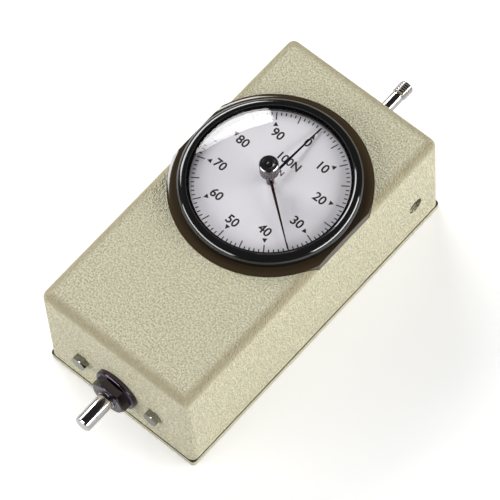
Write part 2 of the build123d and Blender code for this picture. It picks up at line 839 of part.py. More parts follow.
def case_screws():
    screws = []
    seat_bottom = flange_bottom - seat_thickness
    for x, y in case_screw_places:
        screw = post(small_screw_radius, seat_bottom, flange_bottom + case_screw_depth, x, y)
        screw += post(case_screw_head_radius, seat_bottom - case_screw_head_height, seat_bottom, x, y)
        socket = extrude(RegularPolygon(small_screw_radius, 6), case_screw_head_height / 2)
        screws.append(one(screw - Pos(x, y, seat_bottom - case_screw_head_height) * socket))
    return screws


def snap_ring():
    bottom = snap_ring_middle - snap_ring_half
    top = snap_ring_middle + snap_ring_half
    ring = post(case_outer_radius + bezel_slide_gap + snap_ring_bite, bottom, top)
    ring -= post(case_outer_radius - snap_ring_bite, bottom, top)
    gap = block(-pivot_radius, pivot_radius, dial_y, dial_y + case_flange_radius, bottom, top)
    return one(ring - gap)


def bezel():
    """The rounded ring that turns the scale, grooved inside for the snap ring."""
    groove_bore = skirt_bore_radius + snap_ring_bite + snap_ring_play
    groove_low = snap_ring_middle - snap_ring_half - snap_ring_play
    groove_high = snap_ring_middle + snap_ring_half + snap_ring_play
    shoulder = bezel_bottom + bezel_wall_height
    step = dial_ring_bottom - window_seat_gap
    lip = gasket_top + bezel_lip_thickness
    with BuildPart() as part:
        with BuildSketch(Plane.XZ):
            with BuildLine():
                Polyline(
                    (bezel_crown_radius, bezel_top),
                    (bezel_lip_radius, lip),
                    (bezel_lip_radius, gasket_top),
                    (bezel_bore_radius, gasket_top),
                    (bezel_bore_radius, step),
                    (skirt_bore_radius, step),
                    (skirt_bore_radius, groove_high),
                    (groove_bore, groove_high),
                    (groove_bore, groove_low),
                    (skirt_bore_radius, groove_low),
                    (skirt_bore_radius, skirt_bottom),
                    (skirt_radius, skirt_bottom),
                    (skirt_radius, bezel_bottom),
                    (bezel_radius, bezel_bottom),
                    (bezel_radius, shoulder),
                )
                EllipticalCenterArc(
                    (bezel_crown_radius, shoulder),
                    bezel_radius - bezel_crown_radius,
                    bezel_top - shoulder,
                    start_angle=0,
                    arc_size=90,
                )
            make_face()
        revolve(axis=Axis.Z)
    return one(Pos(0, dial_y, 0) * part.part)


def dial_ring():
    ring = post(disc_radius, dial_ring_bottom, dial_bottom)
    return one(ring - post(disc_radius - dial_ring_width, dial_ring_bottom, dial_bottom))


def dial_plate():
    plate = post(disc_radius, dial_bottom, dial_top)
    return one(plate - post(dial_hole_radius, dial_bottom, dial_top))


def dial_spacer():
    ring = post(disc_radius, dial_top, window_bottom)
    return one(ring - post(spacer_inner, dial_top, window_bottom))


def crystal():
    """A domed window with a flat rim and a hole for the knob's stem."""
    bore = stem_radius + clearance
    low_crown = window_bottom + window_dome
    high = [dome_point(window_rim_top, window_crown, r) for r in (spacer_inner, spacer_inner / 2, bore)]
    low = [dome_point(window_bottom, low_crown, r) for r in (bore, spacer_inner / 2, spacer_inner)]
    with BuildPart() as part:
        with BuildSketch(Plane.XZ):
            with BuildLine():
                Polyline(low[2], (disc_radius, window_bottom), (disc_radius, window_rim_top), high[0])
                ThreePointArc(*high)
                Line(high[2], low[0])
                ThreePointArc(*low)
            make_face()
        revolve(axis=Axis.Z)
    return one(Pos(0, dial_y, 0) * part.part)


def dome_point(edge_height, crown_height, radius):
    """The point of a shallow dome at the given radius from the axis."""
    rise = crown_height - edge_height
    sphere = (spacer_inner ** 2 + rise ** 2) / (2 * rise)
    return (radius, crown_height - sphere + math.sqrt(sphere ** 2 - radius ** 2))


def window_gasket():
    ring = post(disc_radius, window_rim_top, gasket_top)
    return one(ring - post(disc_radius - gasket_width, window_rim_top, gasket_top))


# ---------------------------------------------------------------- pointers and knob
def blade(length, root_over_dial, tip_over_dial):
    """A tapered blade from the axis to the rear, sloping down to the scale at its tip."""
    outline = Polyline(
        (-pointer_root_half_width, 0),
        (-pointer_tip_half_width, length),
        (pointer_tip_half_width, length),
        (pointer_root_half_width, 0),
        close=True,
    )
    slope = math.degrees(math.atan2(root_over_dial - tip_over_dial, length))
    sheet = extrude(make_face(outline), pointer_sheet)
    return Pos(0, 0, dial_top + root_over_dial) * Rot(-slope, 0, 0) * sheet


def main_pointer():
    """The measuring pointer on its tall hub, pointing to the rear at no load."""
    arm = blade(pointer_tip_radius, pointer_root_over_dial, pointer_tip_over_dial)
    pointer = Pos(0, dial_y, 0) * arm
    pointer += post(pointer_hub_radius, pointer_hub_bottom, pointer_hub_top)
    return one(pointer - post(pivot_radius, pointer_hub_bottom, pointer_hub_top))


def peak_pointer():
    """The pointer that stays at the highest reading, just above the measuring pointer."""
    arm = blade(peak_tip_radius, peak_root_over_dial, peak_tip_over_dial)
    pointer = Pos(0, dial_y, 0) * Rot(0, 0, peak_angle) * arm
    pointer += post(peak_hub_radius, peak_hub_bottom, peak_hub_top)
    return one(pointer - post(stem_radius, peak_hub_bottom, peak_hub_top))


def friction_washer():
    bottom = window_crown + washer_gap
    washer = post(friction_washer_radius, bottom, bottom + friction_washer_thickness)
    return one(washer - post(stem_radius, bottom, bottom + friction_washer_thickness))


def peak_knob():
    grip_bottom = knob_base + knob_cone_height
    grip_top = grip_bottom + knob_grip_height
    return one(
        turned(
            [
                (0, peak_hub_bottom),
                (stem_radius, peak_hub_bottom),
                (stem_radius, knob_base),
                (knob_base_radius, knob_base),
                (knob_radius, grip_bottom),
                (knob_radius, grip_top),
                (knob_radius - knob_edge, grip_top + knob_edge),
                (knob_dish_radius, grip_top + knob_edge),
                (knob_dish_radius - knob_edge, grip_top + knob_edge - knob_dish_depth),
                (0, grip_top + knob_edge - knob_dish_depth),
            ]
        )
    )


# ---------------------------------------------------------------- write each piece
pieces = {
    "housing": housing,
    "base_cover": base_cover,
    "cover_screws": cover_screws,
    "front_bush": front_bush,
    "front_washer": front_washer,
    "front_nut": front_nut,
    "front_hex_screws": lambda: [hex_screw(-1), hex_screw(1)],
    "rear_bush": rear_bush,
    "spring_adjuster": adjuster_nut,
    "chassis": chassis,
    "measuring_shaft": measuring_shaft,
    "pull_stud": pull_stud,
    "stop_ring": stop_ring,
    "spring_collar": spring_collar,
    "collar_pin": collar_pin,
    "main_spring": main_spring,
    "rack_carrier": rack_carrier,
    "carrier_grub": carrier_grub,
    "rack": rack,
    "rack_screws": rack_screws,
    "rack_pinion": rack_pinion,
    "transfer_gear": transfer_gear,
    "gear_arbor": gear_arbor,
    "centre_pinion": centre_pinion,
    "centre_arbor": centre_arbor,
    "pivot_bushes": pivot_bushes,
    "hairspring_collet": hairspring_collet,
    "hairspring": hairspring,
    "hairspring_stud": hairspring_stud,
    "upper_plate": upper_plate,
    "movement_pillars": pillars,
    "movement_screws": movement_screws,
    "dial_case": dial_case,
    "case_screws": case_screws,
    "bezel_snap_ring": snap_ring,
    "bezel": bezel,
    "dial_ring": dial_ring,
    "dial_plate": dial_plate,
    "dial_spacer": dial_spacer,
    "crystal": crystal,
    "window_gasket": window_gasket,
    "main_pointer": main_pointer,
    "peak_pointer": peak_pointer,
    "friction_washer": friction_washer,
    "peak_knob": peak_knob,
}

os.makedirs("parts", exist_ok=True)
for name, make in pieces.items():
    shape = make()
    if isinstance(shape, list):
        shape = Compound(children=shape)
    export_step(shape, f"parts/{name}.step")
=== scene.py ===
import json
import math

import bmesh
import bpy
from mathutils import Matrix, Vector


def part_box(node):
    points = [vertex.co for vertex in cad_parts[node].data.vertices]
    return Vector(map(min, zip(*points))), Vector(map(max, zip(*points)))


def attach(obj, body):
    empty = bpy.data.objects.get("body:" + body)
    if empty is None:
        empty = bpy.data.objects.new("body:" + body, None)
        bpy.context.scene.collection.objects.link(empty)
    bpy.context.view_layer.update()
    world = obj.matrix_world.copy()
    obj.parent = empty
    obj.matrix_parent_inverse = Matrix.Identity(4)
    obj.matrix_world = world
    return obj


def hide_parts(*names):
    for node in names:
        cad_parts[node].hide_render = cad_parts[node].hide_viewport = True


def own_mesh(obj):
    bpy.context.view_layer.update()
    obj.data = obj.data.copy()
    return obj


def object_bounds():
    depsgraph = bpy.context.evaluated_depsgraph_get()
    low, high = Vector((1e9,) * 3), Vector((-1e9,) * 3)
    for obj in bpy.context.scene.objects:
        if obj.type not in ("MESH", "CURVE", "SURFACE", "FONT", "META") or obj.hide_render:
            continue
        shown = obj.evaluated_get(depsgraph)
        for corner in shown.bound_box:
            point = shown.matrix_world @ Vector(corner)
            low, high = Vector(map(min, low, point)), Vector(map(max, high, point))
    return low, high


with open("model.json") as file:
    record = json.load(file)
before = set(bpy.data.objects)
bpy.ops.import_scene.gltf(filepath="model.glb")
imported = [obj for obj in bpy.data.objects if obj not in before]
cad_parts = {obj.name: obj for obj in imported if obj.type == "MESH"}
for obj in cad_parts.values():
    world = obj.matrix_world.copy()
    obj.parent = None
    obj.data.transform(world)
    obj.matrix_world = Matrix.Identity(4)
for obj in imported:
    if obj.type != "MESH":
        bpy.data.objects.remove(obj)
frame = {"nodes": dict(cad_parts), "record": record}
cad_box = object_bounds()

MM = 0.001

# ---------------------------------------------------------------- places read from the CAD nodes
dial_low, dial_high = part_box("dial_plate")
dial_x = (dial_low.x + dial_high.x) / 2
dial_y = (dial_low.y + dial_high.y) / 2
dial_top = dial_high.z
knob_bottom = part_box("peak_knob")[0].z
stud_low, stud_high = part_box("pull_stud")
body_low, body_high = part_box("housing")

# ---------------------------------------------------------------- printing on the dial, in mm
print_lift = 0.02
tick_outer = 29.46
tick_long_inner = 26.3
tick_short_inner = 28.2
tick_width = 0.44
tick_divisions = 100
tick_long_every = 5
triangle_inner = 23.65
triangle_outer = 25.45
triangle_width = 2.0
digit_height = 3.8
digit_places = {
    "0": (0.0, 21.5),
    "10": (11.3, 17.1),
    "20": (18.6, 6.4),
    "30": (18.7, -6.4),
    "40": (11.6, -16.5),
    "50": (0.0, -21.1),
    "60": (-11.8, -16.5),
    "70": (-19.0, -6.3),
    "80": (-19.0, 6.5),
    "90": (-11.0, 17.1),
}
capacity_height = 3.5
capacity_place = (0.0, 10.9)
unit_height = 2.1
unit_place = (0.6, 5.3)
# Boldness is added all round a letter, as a share of its size. Flatness scales its thickness.
text_boldness = 0.022
text_flatness = 0.1

# ---------------------------------------------------------------- the eyelet in the dial's middle, in mm
eyelet_inner = 1.0
eyelet_outer = 2.8
eyelet_half_thickness = 0.05
eyelet_segments = 96

# ---------------------------------------------------------------- the threaded rear end, in mm
spigot_radius = 1.6
neck_radius = 2.2
neck_length = 0.8
thread_radius = 3.0
thread_length = 5.7
thread_pitch = 1.0
thread_depth = 0.55
thread_chamfer = 0.5
groove_half_width = 0.42 * thread_pitch
thread_steps_per_turn = 12
thread_segments = 72

# ---------------------------------------------------------------- the peak knob, in mm
# The base is a height above the origin.
knob_base = 61.6
knob_cone_height = 1.4
knob_grip_height = 5.6
knob_radius = 3.65
knob_base_radius = 2.2
knob_stem_radius = 1.4
knob_edge = 0.35
knob_edge_land = 0.1
knurl_count = 26
knurl_depth = 0.28
knurl_segments_each = 12
knurl_run_in = 0.15
knurl_run_out = 0.15
knurl_top_land = 0.2
cap_inset = 0.05
cap_taper = 0.1
cap_thickness = 0.9
cap_bed = 0.1
cap_segments = 96
# Two steps down into the cap, with a low boss in the middle. Depths are from the knob's top.
dish_radius = 2.45
dish_lip = 0.1
dish_lip_depth = 0.08
dish_floor_radius = 1.6
dish_floor_depth = 0.42
well_radius = 1.4
well_depth = 0.8
boss_radius = 0.95
boss_taper = 0.1
boss_edge_depth = 0.45
boss_top_radius = 0.5
boss_top_depth = 0.35

# ---------------------------------------------------------------- the housing's paint
# Scales are in features per metre, and reliefs, reaches and margins in mm.
grain_scale = 1500
grain_relief = 1.1
# The grain's tone follows its relief: partly the paint's own speckle, partly painted shade in its hollows
# and painted highlight on its crests.
grain_dark_and_shade = 0.68
grain_light_and_highlight = 1.25
grain_range = (0.34, 0.66)
wave_scale = 420
wave_relief = 0.4
paint_roughness = (0.42, 0.6)
# Painted shade: the rounded top edges are painted a darker brown.
edge_reach = 4.3
edge_full = 0.5
edge_shade_color = (0.42, 0.37, 0.23)
# Painted shade: a dark band along the seam between housing and cover.
seam_middle = 0.22
seam_half_width = 0.24
seam_shade_color = (0.05, 0.045, 0.03)
# Painted shade: the inside of the housing is painted nearly black.
inside_margin = 2.3
inside_shade_color = (0.02, 0.02, 0.018)

# ---------------------------------------------------------------- the other finishes
# Nearly all values of a noise pattern lie in this range.
noise_range = (0.3, 0.7)
# Shades and roughness change between these shares of a finish's own.
enamel_roughness = (0.8, 1.3)
enamel_coat = 0.6
enamel_coat_roughness = 0.06
metal_shades = (0.88, 1.08)
metal_roughness = (0.7, 1.4)
speckle_gain = 1.6
speckle_lift = 0.004
dial_mottle = 0.965
dial_roughness = 0.62
window_tint = (0.98, 0.985, 0.98)
window_roughness = 0.02
window_least_sheen = 0.04
window_sheen_falloff = 5.0
# Edges sharper than this angle, in degrees, stay sharp on a smooth piece.
sharp_angle = 35

# ---------------------------------------------------------------- floor, light and camera
floor_gap = 0.1
floor_height = cad_box[0].z - floor_gap * MM
floor_reach = 4.0
floor_grey = 0.86
floor_roughness = 0.9
floor_lift = 0.3
world_strength = 0.03
# Directions are in degrees, distances and sizes in metres, and power in watts.
lights = {
    "right": {"azimuth": 112, "elevation": 22, "distance": 1.7, "size": (2.0, 0.5), "power": 37},
    "left": {"azimuth": -28, "elevation": 22, "distance": 1.7, "size": (2.0, 0.5), "power": 26},
    "window": {"azimuth": 250, "elevation": 33, "distance": 1.5, "size": (1.2, 0.545), "power": 19},
}
# Distances and the target are in mm, as are the lens and the sensor.
camera_azimuth = 45.82
camera_elevation = 62.52
camera_roll = 5.427
camera_distance = 1529.06
camera_target = (3.58, -2.29, 30.0)
camera_lens = 295.15
camera_sensor = 36.0


# ---------------------------------------------------------------- shader helpers
def base_material(name, color, roughness, metallic=0.0):
    """A Principled material with its node tree and its shader."""
    mat = bpy.data.materials.new(name)
    mat.use_nodes = True
    shader = mat.node_tree.nodes["Principled BSDF"]
    shader.inputs["Base Color"].default_value = (*color, 1)
    shader.inputs["Roughness"].default_value = roughness
    shader.inputs["Metallic"].default_value = metallic
    return mat, mat.node_tree, shader


def feed(tree, socket, value):
    """Links a node's output to a socket, or puts a constant on it."""
    if isinstance(value, bpy.types.NodeSocket):
        tree.links.new(value, socket)
    else:
        socket.default_value = value


def math_node(tree, operation, *values):
    """One operation on values, each a node's output or a number."""
    node = tree.nodes.new("ShaderNodeMath")
    node.operation = operation
    for socket, value in zip(node.inputs, values):
        feed(tree, socket, value)
    return node.outputs["Value"]


def combine(tree, operation, values):
    """One value from many, by an operation on two at a time."""
    result = values[0]
    for value in values[1:]:
        result = math_node(tree, operation, result, value)
    return result


def remap(tree, value, source, target):
    """Stretches one range of a value over another, and holds it at the ends."""
    node = tree.nodes.new("ShaderNodeMapRange")
    node.inputs["From Min"].default_value, node.inputs["From Max"].default_value = source
    node.inputs["To Min"].default_value, node.inputs["To Max"].default_value = target
    tree.links.new(value, node.inputs["Value"])
    return node.outputs["Result"]


def shade(color, factor):
    """A colour made darker or lighter."""
    return [min(1.0, part * factor) for part in color]


def mix_colors(tree, factor, first, second):
    """A blend from the first colour at 0 to the second at 1. The first may be a node's output."""
    mix = tree.nodes.new("ShaderNodeMix")
    mix.data_type = "RGBA"
    feed(tree, mix.inputs["A"], first if isinstance(first, bpy.types.NodeSocket) else (*first, 1))
    feed(tree, mix.inputs["B"], (*second, 1))
    feed(tree, mix.inputs["Factor"], factor)
    return mix.outputs["Result"]


def object_position(tree):
    """A point's X, Y and Z on the object, in metres."""
    coords = tree.nodes.new("ShaderNodeTexCoord")
    split = tree.nodes.new("ShaderNodeSeparateXYZ")
    tree.links.new(coords.outputs["Object"], split.inputs["Vector"])
    return split.outputs


def object_noise(tree, scale, detail, roughness=0.5, stretch=(1, 1, 1)):
    """A noise pattern fixed to the object, its scale in features per metre."""
    coords = tree.nodes.new("ShaderNodeTexCoord")
    mapping = tree.nodes.new("ShaderNodeMapping")
    mapping.inputs["Scale"].default_value = stretch
    noise = tree.nodes.new("ShaderNodeTexNoise")
    noise.inputs["Scale"].default_value = scale
    noise.inputs["Detail"].default_value = detail
    noise.inputs["Roughness"].default_value = roughness
    tree.links.new(coords.outputs["Object"], mapping.inputs["Vector"])
    tree.links.new(mapping.outputs["Vector"], noise.inputs["Vector"])
    return noise.outputs["Fac"]


def add_bump(tree, shader, height, relief, strength, under=None):
    """Bump from a height, with its relief in mm, on top of another bump if one is given."""
    bump = tree.nodes.new("ShaderNodeBump")
    bump.inputs["Strength"].default_value = strength
    bump.inputs["Distance"].default_value = relief * MM
    tree.links.new(height, bump.inputs["Height"])
    if under is not None:
        tree.links.new(under, bump.inputs["Normal"])
    tree.links.new(bump.outputs["Normal"], shader.inputs["Normal"])
    return bump.outputs["Normal"]


# ---------------------------------------------------------------- masks of painted shade on the housing
def inside_shade_mask(tree):
    """1 for points deeper than a margin behind the housing's outer faces, for the painted shade there,
    else 0.
    """
    position = object_position(tree)
    margin = inside_margin * MM
    tests = []
    for axis, low, high in (("X", body_low.x, body_high.x), ("Y", body_low.y, body_high.y)):
        tests.append(math_node(tree, "GREATER_THAN", position[axis], low + margin))
        tests.append(math_node(tree, "LESS_THAN", position[axis], high - margin))
    tests.append(math_node(tree, "LESS_THAN", position["Z"], body_high.z - margin))
    return combine(tree, "MULTIPLY", tests)


def edge_shade_band(tree):
    """1 along the middle of the housing's rounded top edges, fading to 0 on its flat faces, for the
    painted shade there.
    """
    position = object_position(tree)
    reach = edge_reach * MM
    near_top = remap(tree, position["Z"], (body_high.z - reach, body_high.z), (0, 1))
    near_sides = []
    for axis, low, high in (("X", body_low.x, body_high.x), ("Y", body_low.y, body_high.y)):
        near_sides.append(remap(tree, position[axis], (high - reach, high), (0, 1)))
        near_sides.append(remap(tree, position[axis], (low + reach, low), (0, 1)))
    near_side = combine(tree, "MAXIMUM", near_sides)
    near_both = math_node(tree, "MULTIPLY", near_top, near_side)
    return remap(tree, near_both, (0, edge_full), (0, 1))


def seam_shade_band(tree):
    """1 on the relief along the seam between housing and cover, for the painted shade there, else 0."""
    height = object_position(tree)["Z"]
    return math_node(tree, "COMPARE", height, body_low.z + seam_middle * MM, seam_half_width * MM)


# ---------------------------------------------------------------- materials
def wrinkle_paint(name, color):
    """Thick textured paint, with painted shade: brown on the rounded top edges, dark at the seam and
    inside the housing.
    """
    mat, tree, shader = base_material(name, color, roughness=0.5)
    grain = object_noise(tree, grain_scale, detail=1.0)
    waves = object_noise(tree, wave_scale, detail=2.0)
    speckle = remap(tree, grain, grain_range, (0, 1))
    # speckle partly the paint's own tone, partly painted shade and highlight on the grain's relief
    tint = mix_colors(tree, speckle, shade(color, grain_dark_and_shade), shade(color, grain_light_and_highlight))
    # painted shade on the rounded top edges
    tint = mix_colors(tree, edge_shade_band(tree), tint, edge_shade_color)
    # painted shade along the seam
    tint = mix_colors(tree, seam_shade_band(tree), tint, seam_shade_color)
    # painted shade inside the housing
    tint = mix_colors(tree, inside_shade_mask(tree), tint, inside_shade_color)
    tree.links.new(tint, shader.inputs["Base Color"])
    tree.links.new(remap(tree, grain, noise_range, paint_roughness), shader.inputs["Roughness"])
    under = add_bump(tree, shader, waves, wave_relief, strength=0.6)
    add_bump(tree, shader, grain, grain_relief, strength=1.0, under=under)
    return mat


def glossy_enamel(name, color, roughness):
    """Glossy coated paint or plastic with a faint unevenness."""
    mat, tree, shader = base_material(name, color, roughness)
    shader.inputs["Coat Weight"].default_value = enamel_coat
    shader.inputs["Coat Roughness"].default_value = enamel_coat_roughness
    haze = object_noise(tree, scale=60, detail=2.0)
    spread = [roughness * share for share in enamel_roughness]
    tree.links.new(remap(tree, haze, noise_range, spread), shader.inputs["Roughness"])
    add_bump(tree, shader, object_noise(tree, scale=900, detail=2.0), relief=0.01, strength=0.3)
    return mat


def brushed_metal(name, color, roughness, stretch, depth=0.02):
    """Metal with fine machining lines, squeezed or stretched along the axes, and their depth in mm."""
    mat, tree, shader = base_material(name, color, roughness, metallic=1.0)
    lines = object_noise(tree, scale=900, detail=3.0, roughness=0.6, stretch=stretch)
    dark, light = [shade(color, share) for share in metal_shades]
    tint = mix_colors(tree, remap(tree, lines, noise_range, (0, 1)), dark, light)
    tree.links.new(tint, shader.inputs["Base Color"])
    spread = [roughness * share for share in metal_roughness]
    tree.links.new(remap(tree, lines, noise_range, spread), shader.inputs["Roughness"])
    add_bump(tree, shader, lines, depth, strength=0.35)
    return mat


def soft_black(name, color, roughness):
    """Rubber, ink or unpolished black plastic."""
    mat, tree, shader = base_material(name, color, roughness)
    speckle = object_noise(tree, scale=1500, detail=2.0)
    light = [part * speckle_gain + speckle_lift for part in color]
    tint = mix_colors(tree, remap(tree, speckle, noise_range, (0, 1)), color, light)
    tree.links.new(tint, shader.inputs["Base Color"])
    add_bump(tree, shader, speckle, relief=0.02, strength=0.4)
    return mat


def dial_white(name, color):
    """Matt printed white with a very light mottle."""
    mat, tree, shader = base_material(name, color, dial_roughness)
    mottle = object_noise(tree, scale=45, detail=2.0)
    pattern = remap(tree, mottle, noise_range, (0, 1))
    tint = mix_colors(tree, pattern, shade(color, dial_mottle), color)
    tree.links.new(tint, shader.inputs["Base Color"])
    add_bump(tree, shader, object_noise(tree, scale=2500, detail=2.0), relief=0.01, strength=0.3)
    return mat


def clear_window(name):
    """Thin clear acrylic: seen straight through, with a sheen that grows towards a grazing view."""
    mat = bpy.data.materials.new(name)
    mat.use_nodes = True
    tree = mat.node_tree
    tree.nodes.remove(tree.nodes["Principled BSDF"])
    clear = tree.nodes.new("ShaderNodeBsdfTransparent")
    clear.inputs["Color"].default_value = (*window_tint, 1)
    gloss = tree.nodes.new("ShaderNodeBsdfGlossy")
    gloss.inputs["Color"].default_value = (1, 1, 1, 1)
    gloss.inputs["Roughness"].default_value = window_roughness
    weight = tree.nodes.new("ShaderNodeLayerWeight")
    weight.inputs["Blend"].default_value = 0.5
    sheen = math_node(tree, "POWER", weight.outputs["Facing"], window_sheen_falloff)
    mix = tree.nodes.new("ShaderNodeMixShader")
    tree.links.new(remap(tree, sheen, (0, 1), (window_least_sheen, 1)), mix.inputs["Fac"])
    tree.links.new(clear.outputs["BSDF"], mix.inputs[1])
    tree.links.new(gloss.outputs["BSDF"], mix.inputs[2])
    tree.links.new(mix.outputs["Shader"], tree.nodes["Material Output"].inputs["Surface"])
    return mat


# The machining lines' scale along X, Y and Z: long along Y, or short along Z.
along_y = (6.0, 0.35, 6.0)
round_z = (1.0, 1.0, 8.0)
palette = {
    "cream_paint": wrinkle_paint("cream_wrinkle_paint", (0.61, 0.575, 0.405)),
    "black_metal": brushed_metal("blackened_metal", (0.085, 0.07, 0.09), 0.17, along_y, 0.005),
    "bronzed_case": glossy_enamel("brown_black_enamel", (0.046, 0.031, 0.016), 0.12),
    "dark_chrome": brushed_metal("dark_chrome", (0.27, 0.27, 0.24), 0.1, round_z, 0.004),
    "bright_steel": brushed_metal("ground_steel", (0.60, 0.57, 0.58), 0.1, along_y, 0.006),
    "plain_steel": brushed_metal("machined_steel", (0.42, 0.42, 0.42), 0.35, round_z),
    "screw_steel": brushed_metal("zinc_steel", (0.44, 0.44, 0.41), 0.16, round_z),
    "spring_steel": brushed_metal("spring_wire", (0.25, 0.25, 0.26), 0.32, along_y),
    "brass": brushed_metal("turned_brass", (0.66, 0.47, 0.2), 0.28, round_z),
    "black_plastic": glossy_enamel("polished_black", (0.008, 0.008, 0.008), 0.1),
    "black_knob": glossy_enamel("knob_black", (0.012, 0.012, 0.013), 0.22),
    "black_rubber": soft_black("soft_black", (0.012, 0.012, 0.012), 0.6),
    "white_dial": dial_white("dial_white", (0.90, 0.86, 0.92)),
    "clear_window": clear_window("clear_window"),
    "dark_red": glossy_enamel("dark_red_enamel", (0.028, 0.006, 0.005), 0.25),
}
own_finish = {
    "dial_case": "bronzed_case",
    "front_hex_screws": "dark_chrome",
    "spring_adjuster": "black_metal",
}
ink = soft_black("printing_ink", (0.003, 0.003, 0.004), 0.6)
knob_metal = brushed_metal("knob_metal", (0.22, 0.20, 0.21), 0.2, round_z)


def dress_nodes():
    """Gives each CAD node its own finish, or else the material of its slot in the record."""
    for entry in frame["record"]["subparts"]:
        finish = own_finish.get(entry["node"], entry["material_slot"])
        node = frame["nodes"][entry["node"]]
        node.data.materials.clear()
        node.data.materials.append(palette[finish])


# ---------------------------------------------------------------- mesh helpers
def add_object(name, data):
    """A new object in the scene."""
    obj = bpy.data.objects.new(name, data)
    bpy.context.scene.collection.objects.link(obj)
    return obj


def mesh_object(name, bm, material, body, smooth=False):
    """Turns a bmesh in metres into a piece that rides on a body."""
    bmesh.ops.recalc_face_normals(bm, faces=bm.faces)
    mesh = bpy.data.meshes.new(name)
    bm.to_mesh(mesh)
    bm.free()
    mesh.materials.append(material)
    for face in mesh.polygons:
        face.use_smooth = smooth
    if smooth:
        mesh.set_sharp_from_angle(angle=math.radians(sharp_angle))
    obj = add_object(name, mesh)
    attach(obj, body)
    return obj


def bridge(bm, low, high):
    """A band of four-sided faces between two closed rings with the same number of corners."""
    for k in range(len(low)):
        following = (k + 1) % len(low)
        bm.faces.new((low[k], low[following], high[following], high[k]))


# ---------------------------------------------------------------- the dial
def polar(radius, degrees_clockwise):
    """A point in mm from the dial's centre, its angle clockwise from the zero mark."""
    angle = math.radians(90 - degrees_clockwise)
    return radius * math.cos(angle), radius * math.sin(angle)


def on_dial(x, y, lift=print_lift):
    """A point in metres over the dial's face, from mm."""
    return dial_x + x * MM, dial_y + y * MM, dial_top + lift * MM


def flat_face(bm, points):
    """One flat face on the dial, from (x, y) points in mm."""
    bm.faces.new([bm.verts.new(on_dial(x, y)) for x, y in points])


def dial_scale():
    """The ring of ticks and the triangle beside each numeral."""
    bm = bmesh.new()
    tick_spread = math.degrees(tick_width / 2 / tick_outer)
    for k in range(tick_divisions):
        degrees = 360 * k / tick_divisions
        inner = tick_long_inner if k % tick_long_every == 0 else tick_short_inner
        inner_spread = tick_spread * tick_outer / inner
        flat_face(
            bm,
            [
                polar(inner, degrees - inner_spread),
                polar(tick_outer, degrees - tick_spread),
                polar(tick_outer, degrees + tick_spread),
                polar(inner, degrees + inner_spread),
            ],
        )
    triangle_spread = math.degrees(triangle_width / 2 / triangle_inner)
    for k in range(len(digit_places)):
        degrees = 360 * k / len(digit_places)
        flat_face(
            bm,
            [
                polar(triangle_inner, degrees - triangle_spread),
                polar(triangle_outer, degrees),
                polar(triangle_inner, degrees + triangle_spread),
            ],
        )
    return mesh_object("dial_scale_print", bm, ink, "bezel_ring")


def dial_text(words, x, y, height):
    """One printed word, its middle at (x, y) mm from the dial's centre."""
    name = "dial_text_" + words
    curve = bpy.data.curves.new(name, "FONT")
    curve.body = words
    curve.size = 1.0
    curve.bevel_depth = text_boldness
    curve.bevel_resolution = 0
    letters = add_object(name, curve)
    bpy.context.view_layer.update()
    solid_letters = letters.evaluated_get(bpy.context.evaluated_depsgraph_get())
    mesh = bpy.data.meshes.new_from_object(solid_letters)
    bpy.data.objects.remove(letters)
    low = Vector((min(v.co[i] for v in mesh.vertices) for i in range(3)))
    high = Vector((max(v.co[i] for v in mesh.vertices) for i in range(3)))
    scale = height * MM / (high.y - low.y)
    flatten = Vector((scale, scale, scale * text_flatness))
    middle = (low + high) / 2
    place = Vector(on_dial(x, y))
    for vert in mesh.vertices:
        vert.co = place + (vert.co - middle) * flatten
    mesh.materials.clear()
    mesh.materials.append(ink)
    piece = add_object(name, mesh)
    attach(piece, "bezel_ring")
    return piece


def dial_printing():
    """The scale, its numerals, the capacity and the small unit letter."""
    dial_scale()
    for words, place in digit_places.items():
        dial_text(words, *place, digit_height)
    dial_text("100N", *capacity_place, capacity_height)
    dial_text("N", *unit_place, unit_height)


def dial_eyelet():
    """A white ring that closes the dial's middle hole round the pointers' arbor."""
    bm = bmesh.new()
    bottom, top = -eyelet_half_thickness, eyelet_half_thickness
    section = ((eyelet_inner, bottom), (eyelet_outer, bottom), (eyelet_outer, top), (eyelet_inner, top))
    rings = []
    for radius, height in section:
        corners = [polar(radius, 360 * k / eyelet_segments) for k in range(eyelet_segments)]
        rings.append([bm.verts.new(on_dial(x, y, height)) for x, y in corners])
    for low, high in zip(rings, rings[1:] + rings[:1]):
        bridge(bm, low, high)
    return mesh_object("dial_eyelet", bm, palette["white_dial"], "bezel_ring", smooth=True)


# ---------------------------------------------------------------- turned pieces
def lathe(name, rows, segments, material, body, place):
    """A closed turned piece.

    rows is a list of rings, each a function of the angle that gives (radius, height) in mm,
    and place turns x, y and height in mm into a point in metres.
    """
    bm = bmesh.new()
    rings = []
    for row in rows:
        ring = []
        for k in range(segments):
            angle = 2 * math.pi * k / segments
            radius, height = row(angle)
            ring.append(bm.verts.new(place(radius * math.cos(angle), radius * math.sin(angle), height)))
        rings.append(ring)
    for low, high in zip(rings, rings[1:]):
        bridge(bm, low, high)
    bm.faces.new(list(reversed(rings[0])))
    bm.faces.new(rings[-1])
    return mesh_object(name, bm, material, body, smooth=True)


def plain(radius, height):
    """A round ring of a turned piece."""
    return lambda angle: (radius, height)


